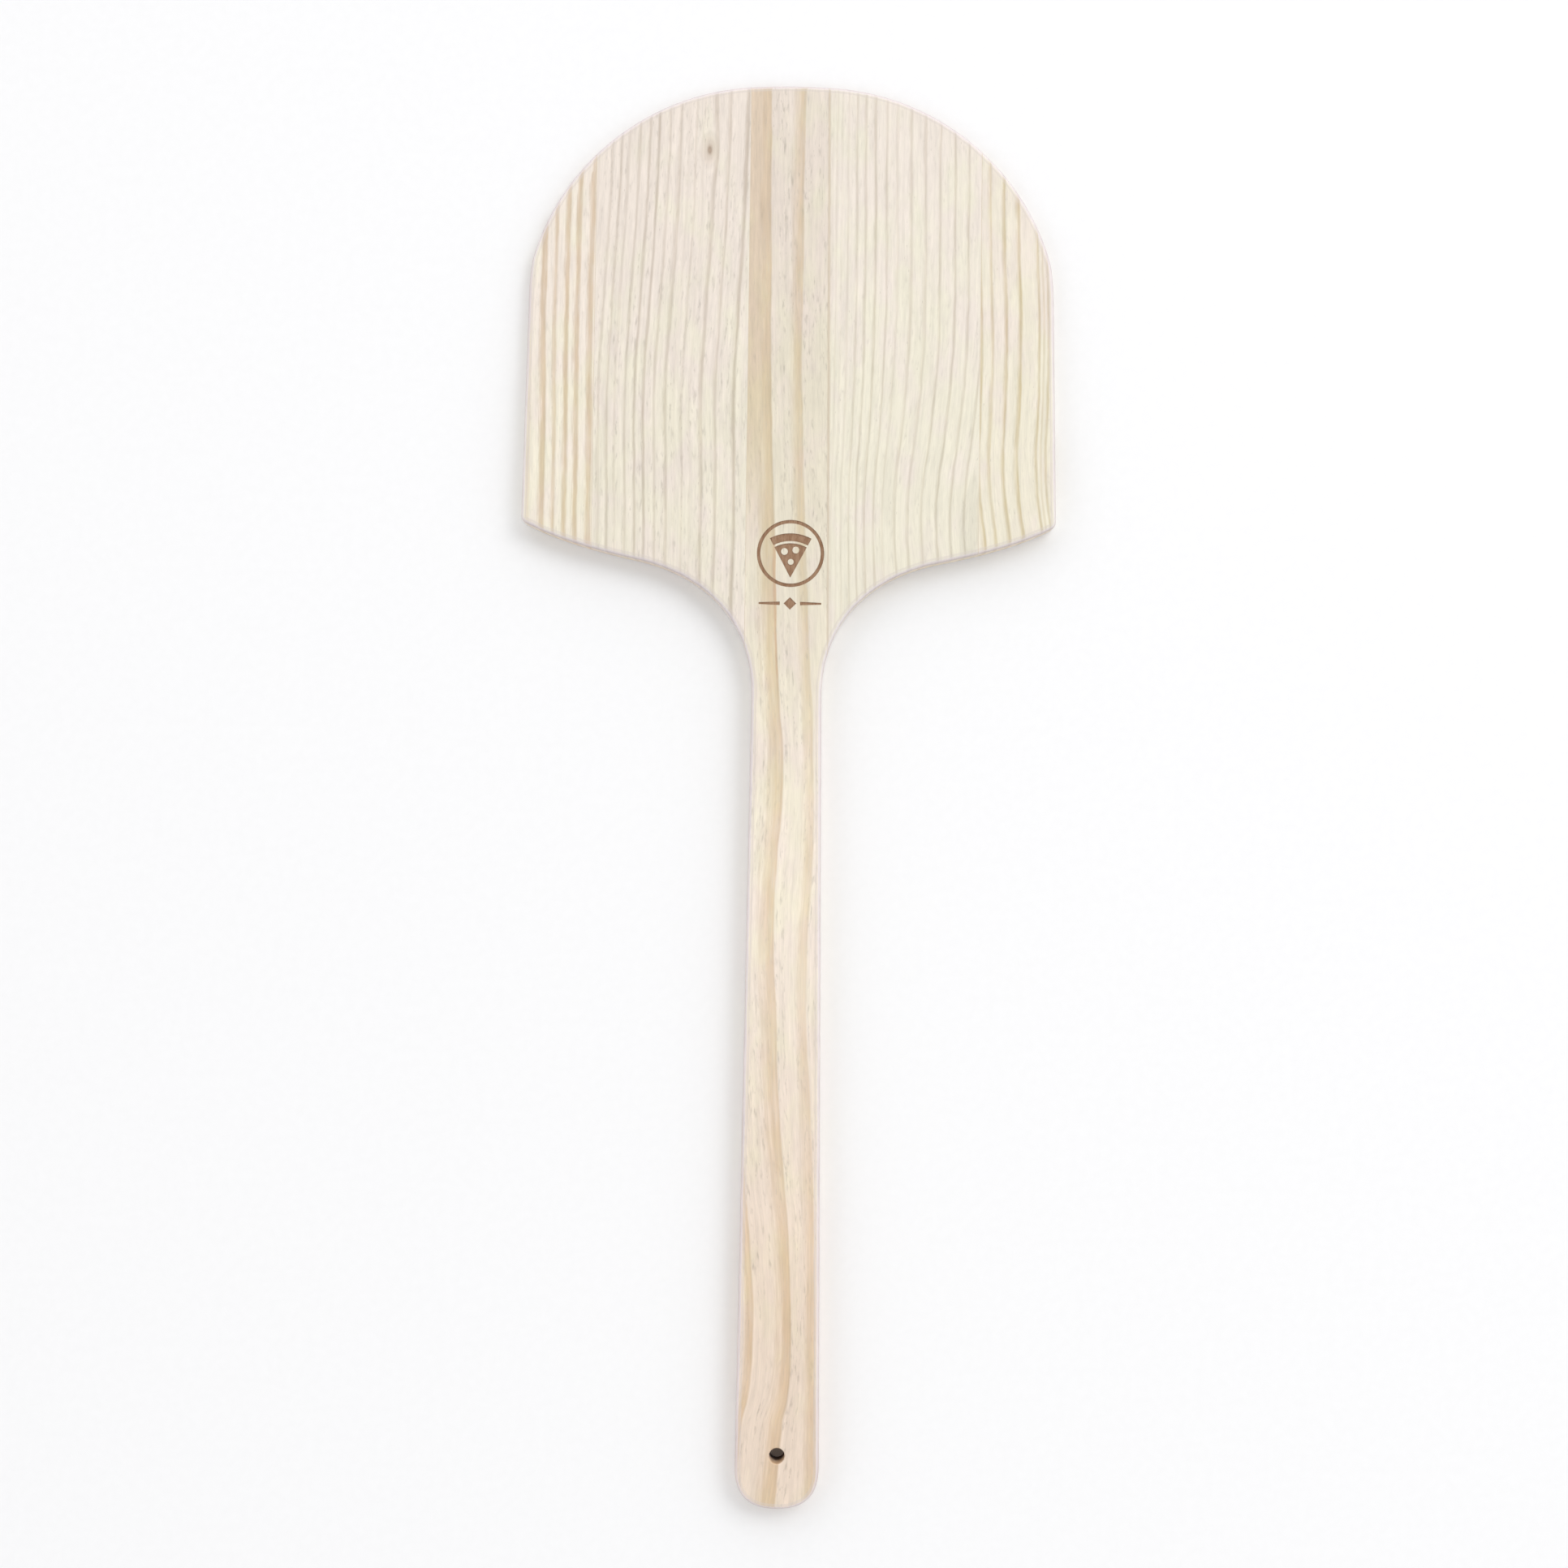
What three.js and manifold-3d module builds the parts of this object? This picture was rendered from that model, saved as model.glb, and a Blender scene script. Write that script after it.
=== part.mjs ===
// Wooden pizza peel: one board glued up from five softwood staves, sawn to outline, tapered
// towards the tip and rounded along its edges. The middle stave runs on as the handle.
// Frame: millimetres, +Z up, +Y from the handle end to the blade tip, +X to the right.
// The flat underside lies on z = 0 and the origin is under the middle of the board.
import * as THREE from "three";
import { mergeVertices } from "three/addons/utils/BufferGeometryUtils.js";
import Module from "manifold-3d";

const wasm = await Module();
wasm.setup();

// Overall size
const LENGTH = 914.4;
const TIP_Y = LENGTH / 2;
const END_Y = -LENGTH / 2;

// Blade: a nearly straight leading edge, two large front corners, slightly flared sides
const TIP_RADIUS = 402;
const CROWN_RADIUS = 155.4;
const CROWN_OFFSET = 17;
const CROWN_END_Y = TIP_Y - 112;
const SIDE_START = new THREE.Vector2(168.9, TIP_Y - 142);
const SIDE_CORNER = new THREE.Vector2(171.45, TIP_Y - 283.5);
const CORNER_LEG = 3.6;

// Shoulder: a shallow convex edge, then a hollow sweep into the neck of the handle
const SHOULDER_CORNER_SLOPE = 0.52;
const SHOULDER_END = new THREE.Vector2(97, TIP_Y - 307.6);
const SHOULDER_END_SLOPE = 0.21;
const SWEEP_START_PULL = 39;
const SWEEP_END_PULL = 54;

// Handle: widens slowly from the neck to a blunt rounded end
const NECK = new THREE.Vector2(22.5, TIP_Y - 395);
const HANDLE_END_HALF_WIDTH = 27;
const HANDLE_CAP_LENGTH = 26.5;
const HANDLE_CAP_FULLNESS = 0.676;

// Thickness and edges
const BOARD_THICKNESS = 16;
const TIP_THICKNESS = 5;
const TAPER_LENGTH = 300;
const TAPER_EASING = 60;
const TOP_EDGE_RADIUS = 3;
const BOTTOM_EDGE_RADIUS = 1.5;
const TOP_EDGE_STEPS = 4;
const BOTTOM_EDGE_STEPS = 2;

// Glue joints between the staves: how far across the board each one lies at the tip and at
// the handle end. The middle of the board is 0, and the right inner joint runs out of parallel.
const JOINTS = [
  { name: "left_outer_glue_line", atTip: -126.2, atEnd: -126.2 },
  { name: "left_inner_glue_line", atTip: -27.3, atEnd: -27.3 },
  { name: "right_inner_glue_line", atTip: 23.1, atEnd: 30.5 },
  { name: "right_outer_glue_line", atTip: 121.7, atEnd: 121.7 },
];
const GLUE_THICKNESS = 0.2;
const JOINT_GAP = 0.3;
const BEYOND_EDGE = 180;

// Staves from left to right, with the colour of their wood
const STAVES = [
  { name: "left_outer_stave", color: 0xebdfcc },
  { name: "left_inner_stave", color: 0xebe1d4 },
  { name: "centre_stave", color: 0xe4d7c4 },
  { name: "right_inner_stave", color: 0xeee5d6 },
  { name: "right_outer_stave", color: 0xede4d1 },
];
const GLUE_COLOR = 0xcdb38c;

// Hanging hole
const HOLE_RADIUS = 5;
const HOLE_CHAMFER = 0.8;
const HOLE_Y = END_Y + 34.4;
const HOLE_SEGMENTS = 40;

// Point where two straight lines, each given by a point and a direction, cross.
function crossing(pointA, directionA, pointB, directionB) {
  const between = pointB.clone().sub(pointA);
  const along = between.cross(directionB) / directionA.cross(directionB);
  return pointA.clone().addScaledVector(directionA, along);
}

// Smooth curve that leaves pointA along directionA and arrives at pointB along directionB.
function blend(pointA, directionA, pointB, directionB) {
  const corner = crossing(pointA, directionA, pointB, directionB);
  return new THREE.QuadraticBezierCurve(pointA, corner, pointB);
}

// Curves of the right-hand edge from the middle of the tip to the middle of the handle end,
// each with the number of straight steps it is divided into.
function rightEdgeCurves() {
  const crownCentreY = TIP_Y - TIP_RADIUS
    + Math.sqrt((TIP_RADIUS - CROWN_RADIUS) ** 2 - CROWN_OFFSET ** 2);
  const crownStart = Math.atan2(crownCentreY - TIP_Y + TIP_RADIUS, CROWN_OFFSET);
  const crownEnd = Math.asin((CROWN_END_Y - crownCentreY) / CROWN_RADIUS);
  const tip = new THREE.EllipseCurve(
    0, TIP_Y - TIP_RADIUS, TIP_RADIUS, TIP_RADIUS, Math.PI / 2, crownStart, true);
  const crown = new THREE.EllipseCurve(
    CROWN_OFFSET, crownCentreY, CROWN_RADIUS, CROWN_RADIUS, crownStart, crownEnd, true);

  const crownTangent = new THREE.Vector2(Math.sin(crownEnd), -Math.cos(crownEnd));
  const sideDirection = SIDE_CORNER.clone().sub(SIDE_START).normalize();
  const shoulderStartDirection = new THREE.Vector2(-1, -SHOULDER_CORNER_SLOPE).normalize();
  const shoulderEndDirection = new THREE.Vector2(-1, -SHOULDER_END_SLOPE).normalize();
  const sideEnd = SIDE_CORNER.clone().addScaledVector(sideDirection, -CORNER_LEG);
  const shoulderStart = SIDE_CORNER.clone().addScaledVector(shoulderStartDirection, CORNER_LEG);
  const handleEnd = new THREE.Vector2(HANDLE_END_HALF_WIDTH, END_Y + HANDLE_CAP_LENGTH);
  const handleDirection = handleEnd.clone().sub(NECK).normalize();

  return [
    { curve: tip, steps: 5 },
    { curve: crown, steps: 26 },
    { curve: blend(crown.getPoint(1), crownTangent, SIDE_START, sideDirection), steps: 4 },
    { curve: new THREE.LineCurve(SIDE_START, sideEnd), steps: 8 },
    { curve: blend(sideEnd, sideDirection, shoulderStart, shoulderStartDirection), steps: 5 },
    { curve: blend(shoulderStart, shoulderStartDirection, SHOULDER_END, shoulderEndDirection),
      steps: 8 },
    { curve: new THREE.CubicBezierCurve(
        SHOULDER_END,
        SHOULDER_END.clone().addScaledVector(shoulderEndDirection, SWEEP_START_PULL),
        NECK.clone().addScaledVector(handleDirection, -SWEEP_END_PULL),
        NECK),
      steps: 16 },
    { curve: new THREE.LineCurve(NECK, handleEnd), steps: 6 },
    { curve: new THREE.CubicBezierCurve(
        handleEnd,
        handleEnd.clone().add(new THREE.Vector2(0, -HANDLE_CAP_FULLNESS * HANDLE_CAP_LENGTH)),
        new THREE.Vector2(HANDLE_CAP_FULLNESS * HANDLE_END_HALF_WIDTH, END_Y),
        new THREE.Vector2(0, END_Y)),
      steps: 12 },
  ];
}

function rightEdgePoints() {
  const points = [new THREE.Vector2(0, TIP_Y)];
  for (const { curve, steps } of rightEdgeCurves()) {
    points.push(...curve.getPoints(steps).slice(1));
  }
  points[points.length - 1].x = 0;
  return points;
}

// For each edge point, the step that moves it inwards so that both of the edges meeting there
// move in by one millimetre.
function inwardSteps(points) {
  const mirrored = (point) => new THREE.Vector2(-point.x, point.y);
  const inwardNormal = (from, to) => {
    const along = to.clone().sub(from).normalize();
    return new THREE.Vector2(along.y, -along.x);
  };
  return points.map((point, i) => {
    const before = i > 0 ? points[i - 1] : mirrored(points[1]);
    const after = i < points.length - 1 ? points[i + 1] : mirrored(points[i - 1]);
    const normalBefore = inwardNormal(before, point);
    const normalAfter = inwardNormal(point, after);
    const scale = 1 / (1 + normalBefore.dot(normalAfter));
    return normalBefore.add(normalAfter).multiplyScalar(scale);
  });
}

// Board thickness at a distance along the board: a straight taper that eases into full
// thickness at the shoulders.
function thicknessAt(y) {
  const fromTip = TIP_Y - y;
  const slope = (BOARD_THICKNESS - TIP_THICKNESS) / TAPER_LENGTH;
  const easingEnd = TAPER_LENGTH + TAPER_EASING;
  if (fromTip >= easingEnd) {
    return BOARD_THICKNESS;
  }
  if (fromTip <= TAPER_LENGTH - TAPER_EASING) {
    return TIP_THICKNESS + slope * fromTip;
  }
  return BOARD_THICKNESS - slope * (easingEnd - fromTip) ** 2 / (4 * TAPER_EASING);
}

// Edge profile from the underside, round the rim and onto the top face. Each entry says how
// far in from the outline it lies and at what height.
function edgeProfile() {
  const profile = [];
  for (let step = 0; step <= BOTTOM_EDGE_STEPS; step += 1) {
    const angle = (step / BOTTOM_EDGE_STEPS) * (Math.PI / 2);
    profile.push({
      inset: BOTTOM_EDGE_RADIUS * (1 - Math.sin(angle)),
      height: () => BOTTOM_EDGE_RADIUS * (1 - Math.cos(angle)),
    });
  }
  for (let step = 0; step <= TOP_EDGE_STEPS; step += 1) {
    const angle = (step / TOP_EDGE_STEPS) * (Math.PI / 2);
    profile.push({
      inset: TOP_EDGE_RADIUS * (1 - Math.cos(angle)),
      height: (y) => thicknessAt(y) - TOP_EDGE_RADIUS * (1 - Math.sin(angle)),
    });
  }
  return profile;
}

// The whole board as one closed skin: a loop of points for each step of the edge profile, a
// band between neighbouring loops, and a ladder of strips across the underside and the top.
function boardGeometry() {
  const rightEdge = rightEdgePoints();
  const steps = inwardSteps(rightEdge);
  const last = rightEdge.length - 1;
  const loopSize = 2 * last;
  const positions = [];
  const triangles = [];

  const profile = edgeProfile();
  for (const { inset, height } of profile) {
    for (let i = 0; i < loopSize; i += 1) {
      const onLeft = i > last;
      const source = onLeft ? loopSize - i : i;
      const point = rightEdge[source].clone().addScaledVector(steps[source], inset);
      positions.push(onLeft ? -point.x : point.x, point.y, height(point.y));
    }
  }

  for (let loop = 0; loop < profile.length - 1; loop += 1) {
    for (let i = 0; i < loopSize; i += 1) {
      const next = (i + 1) % loopSize;
      const lower = loop * loopSize;
      const upper = lower + loopSize;
      triangles.push(lower + i, upper + i, upper + next);
      triangles.push(lower + i, upper + next, lower + next);
    }
  }

  const addCap = (start, facesUp) => {
    const addTriangle = (a, b, c) => {
      triangles.push(start + a, start + (facesUp ? b : c), start + (facesUp ? c : b));
    };
    addTriangle(0, loopSize - 1, 1);
    for (let i = 1; i < last - 1; i += 1) {
      addTriangle(i, loopSize - i, loopSize - i - 1);
      addTriangle(i, loopSize - i - 1, i + 1);
    }
    addTriangle(last - 1, last + 1, last);
  };
  addCap(0, false);
  addCap((profile.length - 1) * loopSize, true);

  const geometry = new THREE.BufferGeometry();
  geometry.setAttribute("position", new THREE.Float32BufferAttribute(positions, 3));
  geometry.setIndex(triangles);
  return geometry;
}

// Cutter for the hanging hole, with a chamfer at both faces.
function holeGeometry() {
  const past = 1;
  const mouth = HOLE_RADIUS + HOLE_CHAMFER + past;
  const profile = [
    new THREE.Vector2(0, -past),
    new THREE.Vector2(mouth, -past),
    new THREE.Vector2(HOLE_RADIUS, HOLE_CHAMFER),
    new THREE.Vector2(HOLE_RADIUS, BOARD_THICKNESS - HOLE_CHAMFER),
    new THREE.Vector2(mouth, BOARD_THICKNESS + past),
    new THREE.Vector2(0, BOARD_THICKNESS + past),
  ];
  const geometry = new THREE.LatheGeometry(profile, HOLE_SEGMENTS);
  geometry.rotateX(Math.PI / 2);
  geometry.translate(0, HOLE_Y, 0);
  return geometry;
}

// Slab that covers the board between two lines along it, each given by its distance from the
// centreline at the tip and at the handle end.
function slabGeometry(left, right) {
  const shape = new THREE.Shape([
    new THREE.Vector2(left.atTip, TIP_Y),
    new THREE.Vector2(left.atEnd, END_Y),
    new THREE.Vector2(right.atEnd, END_Y),
    new THREE.Vector2(right.atTip, TIP_Y),
  ]);
  const depth = 3 * BOARD_THICKNESS;
  const geometry = new THREE.ExtrudeGeometry(shape, { depth, bevelEnabled: false });
  geometry.translate(0, 0, -BOARD_THICKNESS);
  return geometry;
}

function solidFrom(geometry) {
  const bare = geometry.clone();
  bare.deleteAttribute("normal");
  bare.deleteAttribute("uv");
  const merged = mergeVertices(bare, 1e-4);
  return new wasm.Manifold(new wasm.Mesh({
    numProp: 3,
    vertProperties: merged.getAttribute("position").array,
    triVerts: Uint32Array.from(merged.getIndex().array),
  }));
}

function geometryFrom(solid) {
  const mesh = solid.getMesh();
  const geometry = new THREE.BufferGeometry();
  geometry.setAttribute("position", new THREE.BufferAttribute(mesh.vertProperties, 3));
  geometry.setIndex(new THREE.BufferAttribute(mesh.triVerts, 1));
  geometry.computeVertexNormals();
  return geometry;
}

function shifted({ atTip, atEnd }, distance) {
  return { atTip: atTip + distance, atEnd: atEnd + distance };
}

function pieceOfBoard(board, left, right) {
  return board.intersect(solidFrom(slabGeometry(left, right)));
}

function addMesh(group, name, solid, color, roughness) {
  const material = new THREE.MeshStandardMaterial({ color, roughness, metalness: 0 });
  const mesh = new THREE.Mesh(geometryFrom(solid), material);
  mesh.name = name;
  group.add(mesh);
}

const board = solidFrom(boardGeometry()).subtract(solidFrom(holeGeometry()));
const leftRim = { atTip: -BEYOND_EDGE, atEnd: -BEYOND_EDGE };
const rightRim = { atTip: BEYOND_EDGE, atEnd: BEYOND_EDGE };
const peel = new THREE.Group();

STAVES.forEach(({ name, color }, i) => {
  const left = i > 0 ? shifted(JOINTS[i - 1], JOINT_GAP / 2) : leftRim;
  const right = i < JOINTS.length ? shifted(JOINTS[i], -JOINT_GAP / 2) : rightRim;
  addMesh(peel, name, pieceOfBoard(board, left, right), color, 0.62);
});

for (const joint of JOINTS) {
  const left = shifted(joint, -GLUE_THICKNESS / 2);
  const right = shifted(joint, GLUE_THICKNESS / 2);
  addMesh(peel, joint.name, pieceOfBoard(board, left, right), GLUE_COLOR, 0.5);
}

export default peel;
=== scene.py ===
import math

import bmesh
import bpy
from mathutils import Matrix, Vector, noise


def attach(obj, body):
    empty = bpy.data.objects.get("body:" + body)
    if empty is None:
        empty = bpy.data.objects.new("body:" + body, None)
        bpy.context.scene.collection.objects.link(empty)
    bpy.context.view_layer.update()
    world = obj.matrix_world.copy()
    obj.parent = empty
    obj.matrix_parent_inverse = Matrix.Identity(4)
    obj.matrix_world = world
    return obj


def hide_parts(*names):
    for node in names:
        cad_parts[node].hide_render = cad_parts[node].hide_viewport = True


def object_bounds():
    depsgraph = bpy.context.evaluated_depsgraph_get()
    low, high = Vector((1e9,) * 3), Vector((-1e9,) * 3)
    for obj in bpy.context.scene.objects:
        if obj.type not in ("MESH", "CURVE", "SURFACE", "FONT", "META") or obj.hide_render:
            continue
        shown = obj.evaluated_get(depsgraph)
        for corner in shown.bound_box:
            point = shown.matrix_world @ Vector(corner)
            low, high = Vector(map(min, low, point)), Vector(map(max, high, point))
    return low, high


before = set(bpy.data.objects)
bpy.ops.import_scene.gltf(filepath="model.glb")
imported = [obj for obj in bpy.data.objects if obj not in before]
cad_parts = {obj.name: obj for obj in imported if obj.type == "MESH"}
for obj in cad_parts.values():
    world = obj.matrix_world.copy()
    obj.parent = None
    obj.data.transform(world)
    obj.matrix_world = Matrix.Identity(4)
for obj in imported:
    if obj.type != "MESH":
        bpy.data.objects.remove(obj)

cad_low, cad_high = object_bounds()

MM = 0.001

# ---------------------------------------- dimensions in millimetres

LENGTH = (cad_high.y - cad_low.y) / MM
TIP_Y = LENGTH / 2
END_Y = -LENGTH / 2
BOARD_THICKNESS = (cad_high.z - cad_low.z) / MM

# Blade outline, right half: near-straight leading edge, large front corner, flared side
TIP_RADIUS = 402
CROWN_RADIUS = 155.4
CROWN_OFFSET = 17
CROWN_END_Y = TIP_Y - 112
SIDE_START = Vector((168.9, TIP_Y - 142))
SIDE_CORNER = Vector((171.45, TIP_Y - 283.5))
CORNER_LEG = 3.6

# Shoulder and the sweep into the neck
SHOULDER_CORNER_SLOPE = 0.52
SHOULDER_END = Vector((97, TIP_Y - 307.6))
SHOULDER_END_SLOPE = 0.21
SWEEP_START_PULL = 39
SWEEP_END_PULL = 54

# Handle
NECK = Vector((22.5, TIP_Y - 395))
HANDLE_END_HALF_WIDTH = 27
HANDLE_CAP_LENGTH = 26.5
HANDLE_CAP_FULLNESS = 0.676

# Thickness and edges
TIP_THICKNESS = 5
TAPER_LENGTH = 300
TAPER_EASING = 60
TAPER_SLOPE = (BOARD_THICKNESS - TIP_THICKNESS) / TAPER_LENGTH
TOP_EDGE_RADIUS = 2.9
BOTTOM_EDGE_RADIUS = 1.4
EDGE_UNEVENNESS = 0.35
EDGE_WAVE_LENGTH = 45
EDGE_BORDER = 0.45
EDGE_BORDERS = 3
TOP_EDGE_STEPS = 9
BOTTOM_EDGE_STEPS = 5

# Straight steps that each stretch of the outline is divided into, from tip to handle end
TIP_STEPS = 14
CROWN_STEPS = 96
CROWN_BLEND_STEPS = 14
SIDE_STEPS = 50
CORNER_STEPS = 10
SHOULDER_STEPS = 32
SWEEP_STEPS = 60
HANDLE_STEPS = 120
CAP_STEPS = 36

# Hanging hole
HOLE_RADIUS = 5
HOLE_ROUNDING = 0.9
HOLE_Y = END_Y + 34.4
HOLE_SEGMENTS = 72
HOLE_FLARE_STEPS = 6
HOLE_CUTTER_OVERSHOOT = 0.6
SHARP_EDGE_ANGLE = math.radians(32)

# Glue joints: distance across the board at the tip and at the handle end
JOINTS = {
    "left_outer_glue_line": (-126.2, -126.2),
    "left_inner_glue_line": (-27.3, -27.3),
    "right_inner_glue_line": (23.1, 30.5),
    "right_outer_glue_line": (121.7, 121.7),
}
STAVES = [
    "left_outer_stave",
    "left_inner_stave",
    "centre_stave",
    "right_inner_stave",
    "right_outer_stave",
]
GLUE_THICKNESS = 0.25

# Burnt emblem near the neck: a ring round a slice of pizza, and a small ornament under it
EMBLEM_CENTRE = Vector((1.5, 154.5))
EMBLEM_RADIUS = 21.5
EMBLEM_STROKE = 2.2
EMBLEM_DEPTH = 0.4
EMBLEM_CUTTER_OVERSHOOT = 1.0
SLICE_POINT_DROP = 15.5
SLICE_HALF_ANGLE = math.radians(28)
SLICE_RADIUS = 22
CRUST_INNER_RADIUS = 23.4
CRUST_OUTER_RADIUS = 28.4
TOPPINGS = [(-3.9, 1.2, 2.2), (3.4, 2.2, 2.2), (0.2, -5.4, 1.9)]
ORNAMENT_Y = 122.5
LOZENGE_HALF_WIDTH = 4
BAR_NEAR = (6.5, 1.1)
BAR_FAR = (20, 0.6)


# ---------------------------------------- outline of the board

def arc(centre, radius, start, end, steps):
    """Points on a circular arc, without its first point."""
    points = []
    for step in range(1, steps + 1):
        angle = start + (end - start) * step / steps
        points.append(centre + radius * Vector((math.cos(angle), math.sin(angle))))
    return points


def bezier(controls, steps):
    """Points on a Bezier curve of any degree, without its first point."""
    points = []
    for step in range(1, steps + 1):
        t = step / steps
        level = list(controls)
        while len(level) > 1:
            level = [a.lerp(b, t) for a, b in zip(level, level[1:])]
        points.append(level[0])
    return points


def crossing(point_a, direction_a, point_b, direction_b):
    """Where two straight lines, each a point and a direction, cross."""
    between = point_b - point_a
    along = between.cross(direction_b) / direction_a.cross(direction_b)
    return point_a + direction_a * along


def blend(point_a, direction_a, point_b, direction_b, steps):
    """A smooth curve that leaves point_a and arrives at point_b along the given directions."""
    corner = crossing(point_a, direction_a, point_b, direction_b)
    return bezier([point_a, corner, point_b], steps)


def right_edge_points():
    """The right-hand edge from the middle of the tip to the middle of the handle end."""
    tip_centre = Vector((0, TIP_Y - TIP_RADIUS))
    crown_rise = math.sqrt((TIP_RADIUS - CROWN_RADIUS) ** 2 - CROWN_OFFSET ** 2)
    crown_centre = tip_centre + Vector((CROWN_OFFSET, crown_rise))
    crown_start = math.atan2(crown_rise, CROWN_OFFSET)
    crown_end = math.asin((CROWN_END_Y - crown_centre.y) / CROWN_RADIUS)
    crown_tangent = Vector((math.sin(crown_end), -math.cos(crown_end)))
    side_direction = (SIDE_CORNER - SIDE_START).normalized()
    shoulder_start_direction = Vector((-1, -SHOULDER_CORNER_SLOPE)).normalized()
    shoulder_end_direction = Vector((-1, -SHOULDER_END_SLOPE)).normalized()
    side_end = SIDE_CORNER - side_direction * CORNER_LEG
    shoulder_start = SIDE_CORNER + shoulder_start_direction * CORNER_LEG
    handle_end = Vector((HANDLE_END_HALF_WIDTH, END_Y + HANDLE_CAP_LENGTH))
    handle_direction = (handle_end - NECK).normalized()

    points = [Vector((0, TIP_Y))]
    points += arc(tip_centre, TIP_RADIUS, math.pi / 2, crown_start, TIP_STEPS)
    points += arc(crown_centre, CROWN_RADIUS, crown_start, crown_end, CROWN_STEPS)
    points += blend(
        points[-1], crown_tangent, SIDE_START, side_direction, CROWN_BLEND_STEPS)
    points += bezier([SIDE_START, side_end], SIDE_STEPS)
    points += blend(
        side_end, side_direction, shoulder_start, shoulder_start_direction, CORNER_STEPS)
    points += blend(
        shoulder_start, shoulder_start_direction, SHOULDER_END, shoulder_end_direction,
        SHOULDER_STEPS)
    sweep = [
        SHOULDER_END,
        SHOULDER_END + shoulder_end_direction * SWEEP_START_PULL,
        NECK - handle_direction * SWEEP_END_PULL,
        NECK,
    ]
    points += bezier(sweep, SWEEP_STEPS)
    points += bezier([NECK, handle_end], HANDLE_STEPS)
    cap = [
        handle_end,
        handle_end - Vector((0, HANDLE_CAP_FULLNESS * HANDLE_CAP_LENGTH)),
        Vector((HANDLE_CAP_FULLNESS * HANDLE_END_HALF_WIDTH, END_Y)),
        Vector((0, END_Y)),
    ]
    points += bezier(cap, CAP_STEPS)
    return points


def inward_steps(points):
    """For each edge point, the step that moves both edges meeting there in by 1 mm."""
    def mirrored(point):
        return Vector((-point.x, point.y))

    def inward_normal(start, end):
        along = (end - start).normalized()
        return Vector((along.y, -along.x))

    steps = []
    for i, point in enumerate(points):
        before = points[i - 1] if i > 0 else mirrored(points[1])
        after = points[i + 1] if i < len(points) - 1 else mirrored(points[i - 1])
        normal_before = inward_normal(before, point)
        normal_after = inward_normal(point, after)
        scale = 1 / (1 + normal_before.dot(normal_after))
        steps.append((normal_before + normal_after) * scale)
    return steps


def thickness_at(y):
    """A straight taper from the tip that eases into full thickness at the shoulders."""
    from_tip = TIP_Y - y
    easing_end = TAPER_LENGTH + TAPER_EASING
    if from_tip >= easing_end:
        return BOARD_THICKNESS
    if from_tip <= TAPER_LENGTH - TAPER_EASING:
        return TIP_THICKNESS + TAPER_SLOPE * from_tip
    return BOARD_THICKNESS - TAPER_SLOPE * (easing_end - from_tip) ** 2 / (4 * TAPER_EASING)


# ---------------------------------------- mesh helpers

def new_object(name, data):
    made = bpy.data.objects.new(name, data)
    bpy.context.scene.collection.objects.link(made)
    return made


def mesh_from_bmesh(name, shape):
    mesh = bpy.data.meshes.new(name)
    shape.to_mesh(mesh)
    shape.free()
    return mesh


def edge_profile():
    """Steps from the underside, round the rim and onto the top: how far in from the outline,
    and a function that gives the height from the place along the board and the rim's radius."""
    profile = [(BOTTOM_EDGE_RADIUS + EDGE_BORDER, lambda y, radius: 0.0)]
    for step in range(BOTTOM_EDGE_STEPS + 1):
        angle = math.pi / 2 * step / BOTTOM_EDGE_STEPS
        inset = BOTTOM_EDGE_RADIUS * (1 - math.sin(angle))
        rise = BOTTOM_EDGE_RADIUS * (1 - math.cos(angle))
        profile.append((inset, lambda y, radius, rise=rise: rise))
    for step in range(TOP_EDGE_STEPS + 1):
        angle = math.pi / 2 * step / TOP_EDGE_STEPS
        inset = TOP_EDGE_RADIUS * (1 - math.cos(angle))
        drop = 1 - math.sin(angle)
        profile.append((inset, lambda y, radius, drop=drop: thickness_at(y) - radius * drop))
    for step in range(1, EDGE_BORDERS + 1):
        inset = TOP_EDGE_RADIUS + EDGE_BORDER * step
        profile.append((inset, lambda y, radius: thickness_at(y)))
    return profile


def record_rim_distance(mesh, distances):
    """Keeps each point's distance from the rim, for the materials, in millimetres."""
    from_rim = mesh.attributes.new("from_rim", "FLOAT", "CORNER")
    for corner, loop in zip(from_rim.data, mesh.loops):
        corner.value = distances[loop.vertex_index]


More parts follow.
